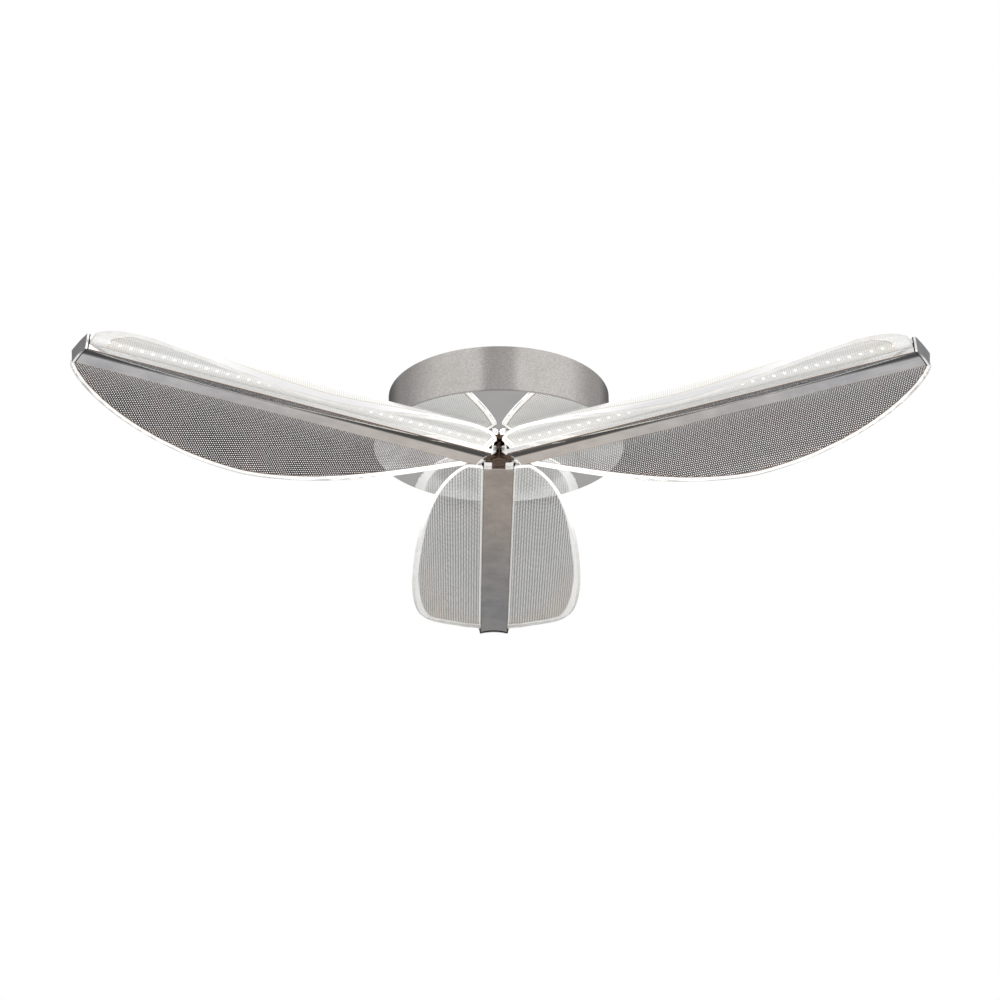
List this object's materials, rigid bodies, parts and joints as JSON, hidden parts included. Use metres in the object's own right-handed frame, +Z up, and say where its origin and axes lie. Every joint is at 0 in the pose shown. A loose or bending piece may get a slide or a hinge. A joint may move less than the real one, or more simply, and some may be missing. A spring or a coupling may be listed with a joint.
{
  "type": "ceiling light",
  "caption": "Semi-flush ceiling light with a round canopy, a wider mirror disc and tilting bar arms that edge-light bent clear acrylic leaves.",
  "frame": {"origin": "centre of the ceiling strap's slot pattern on the ceiling plane", "axes": "+Z up into the ceiling, +Y along the first arm, X across it; the light hangs below"},
  "size_m": [0.7362, 0.651, 0.0971],
  "materials": {
    "satin_nickel": "satin metallic flake",
    "mirror_disc": "mirror polished",
    "bar_metal": "satin grey",
    "bright_chrome": "polished",
    "dark_bronze": "speckled dark bronze",
    "clear_acrylic": "clear, with a laser-dotted field and a plain rim",
    "led_board": "white board with pale yellow chips",
    "zinc_steel": "zinc plated",
    "sleeve_bronze": "plain bearing",
    "driver_plastic": "moulded white",
    "clamp_nylon": "moulded natural nylon",
    "grommet_rubber": "matte black",
    "lead_insulation": "brown and white insulation"
  },
  "bodies": {
    "canopy": {"ceiling_strap": "zinc_steel", "cable_grommet": "grommet_rubber", "earth_screw": "zinc_steel", "strain_clamp": "clamp_nylon", "strain_clamp_screws": "zinc_steel", "canopy_shell": "satin_nickel", "canopy_screws": "bright_chrome", "polished_disc": "mirror_disc", "centre_post": "zinc_steel", "post_washer": "zinc_steel", "post_nut": "zinc_steel", "hub_block": "dark_bronze", "led_driver": "driver_plastic", "driver_screws": "zinc_steel", "terminal_block": "clamp_nylon", "terminal_screw": "zinc_steel", "mains_leads": "lead_insulation", "led_lead": "lead_insulation", "friction_sleeve_a": "sleeve_bronze", "friction_sleeve_b": "sleeve_bronze", "friction_sleeve_c": "sleeve_bronze"},
    "arm_a": {"bar_a": "bar_metal", "bar_cover_a": "bar_metal", "cover_screws_a": "zinc_steel", "hinge_bracket_a": "bright_chrome", "end_cap_a": "bar_metal", "leaf_left_a": "clear_acrylic", "leaf_right_a": "clear_acrylic", "led_strip_left_a": "led_board", "led_strip_right_a": "led_board", "hinge_pin_a": "zinc_steel", "hinge_washers_a": "zinc_steel"},
    "arm_b": {"bar_b": "bar_metal", "bar_cover_b": "bar_metal", "cover_screws_b": "zinc_steel", "hinge_bracket_b": "bright_chrome", "end_cap_b": "bar_metal", "leaf_left_b": "clear_acrylic", "leaf_right_b": "clear_acrylic", "led_strip_left_b": "led_board", "led_strip_right_b": "led_board", "hinge_pin_b": "zinc_steel", "hinge_washers_b": "zinc_steel"},
    "arm_c": {"bar_c": "bar_metal", "bar_cover_c": "bar_metal", "cover_screws_c": "zinc_steel", "hinge_bracket_c": "bright_chrome", "end_cap_c": "bar_metal", "leaf_left_c": "clear_acrylic", "leaf_right_c": "clear_acrylic", "led_strip_left_c": "led_board", "led_strip_right_c": "led_board", "hinge_pin_c": "zinc_steel", "hinge_washers_c": "zinc_steel"}
  },
  "joints": [
    {"name": "arm_a_tilt", "type": "hinge", "parent": "canopy", "child": "arm_a", "pos_m": [0, 0.0115, -0.0603], "axis": [-1, 0, 0], "range_deg": [0, 20]},
    {"name": "arm_b_tilt", "type": "hinge", "parent": "canopy", "child": "arm_b", "pos_m": [-0.00996, -0.00575, -0.0603], "axis": [0.5, -0.866, 0], "range_deg": [0, 20]},
    {"name": "arm_c_tilt", "type": "hinge", "parent": "canopy", "child": "arm_c", "pos_m": [0.00996, -0.00575, -0.0603], "axis": [0.5, 0.866, 0], "range_deg": [0, 20]}
  ]
}
